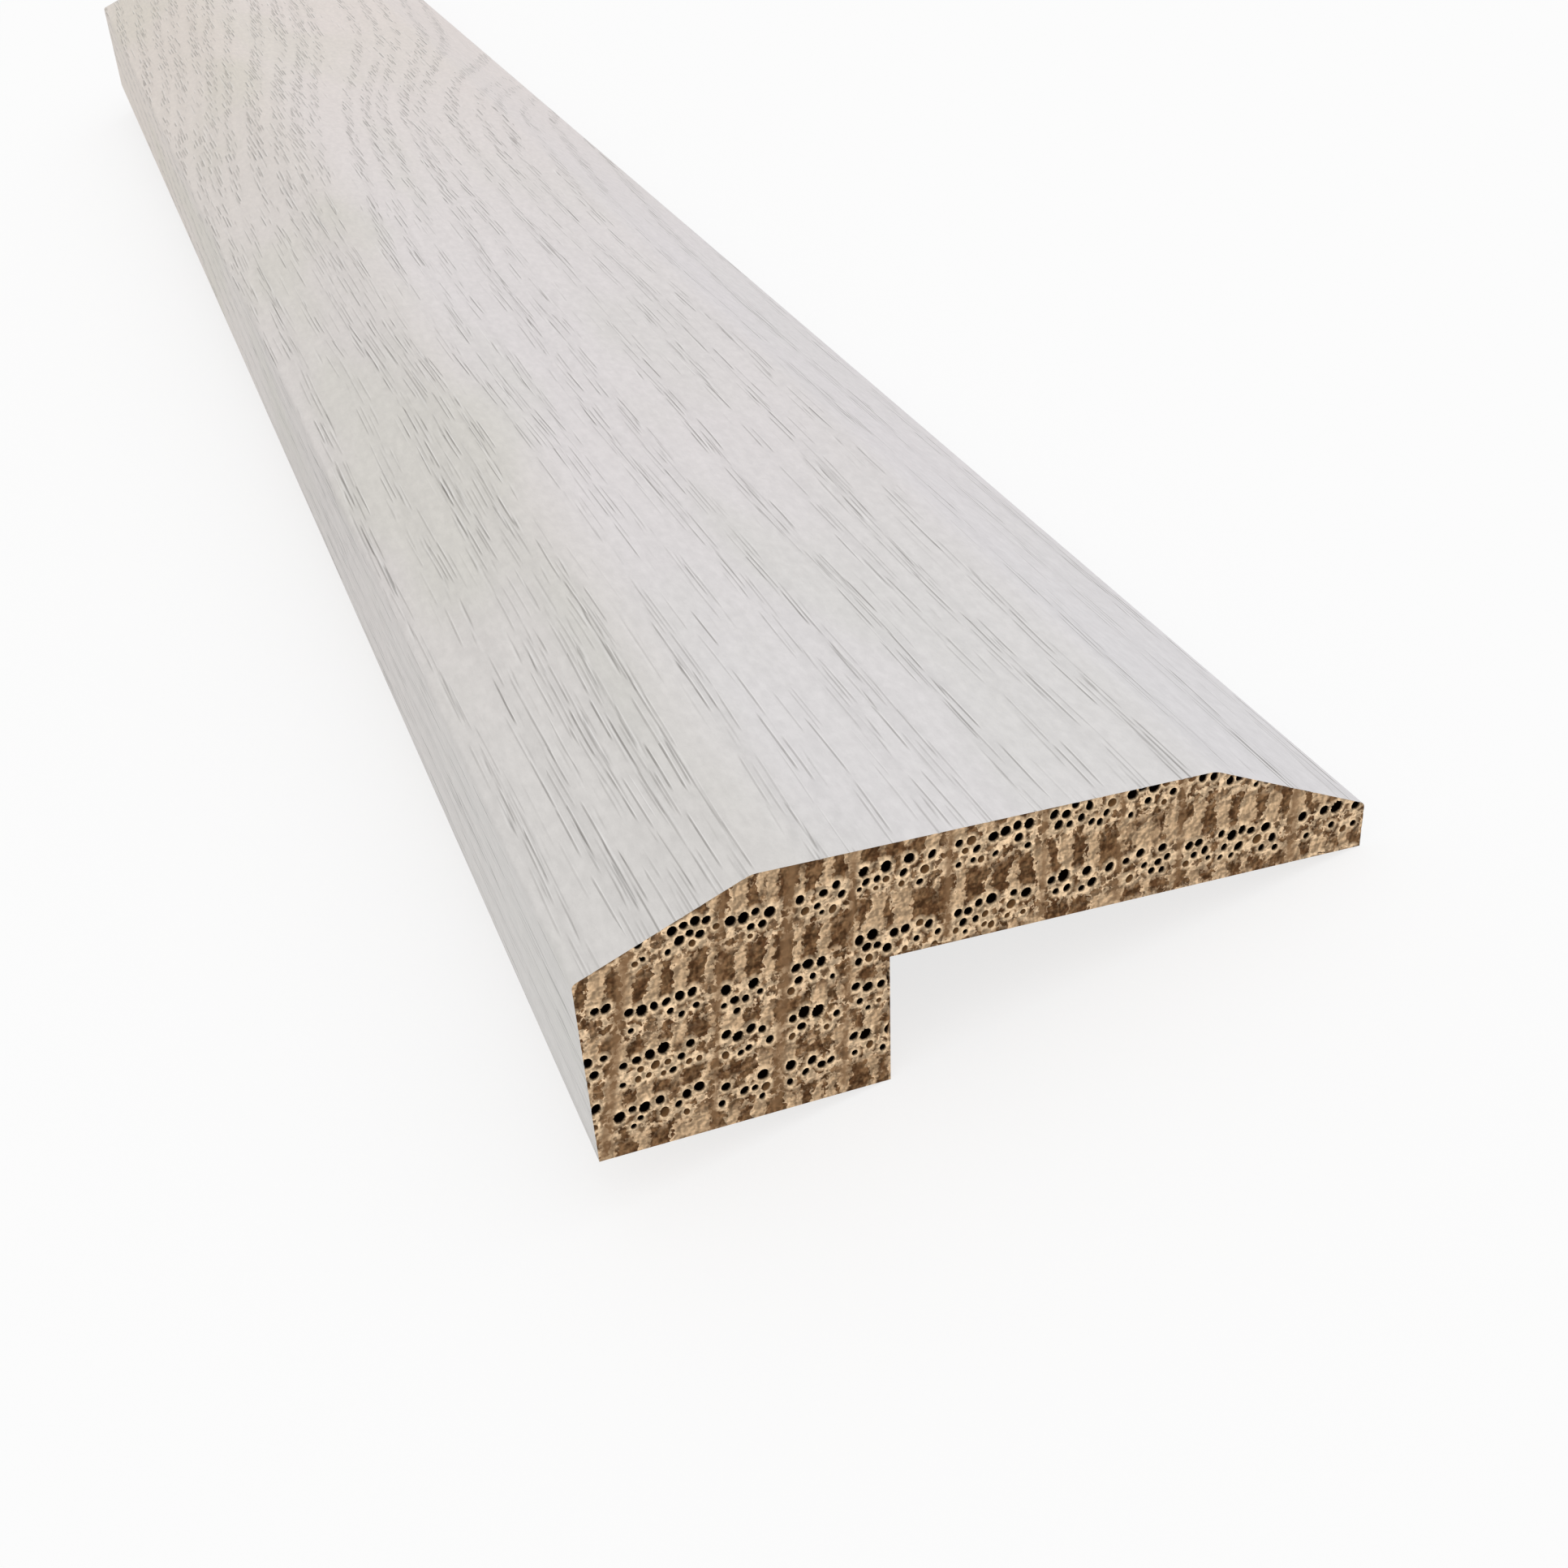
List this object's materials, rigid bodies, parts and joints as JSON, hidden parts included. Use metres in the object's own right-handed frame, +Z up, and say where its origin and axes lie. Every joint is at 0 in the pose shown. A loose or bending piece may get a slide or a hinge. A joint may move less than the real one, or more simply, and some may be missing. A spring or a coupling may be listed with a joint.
{
  "type": "wood threshold",
  "caption": "Moulded oak floor threshold strip with a foot, a rabbeted overlapping lip and a flat bevelled crown in a white-washed finish.",
  "frame": {"origin": "on the floor, under the middle of the strip's box", "axes": "+Y along the strip, +X across it towards the lip, +Z up"},
  "size_m": [0.0516, 0.3048, 0.0184],
  "materials": {
    "oak": "matt white-washed oak, bare oak on the sawn ends and underneath"
  },
  "bodies": {
    "root": {"threshold_strip": "oak"}
  },
  "joints": []
}
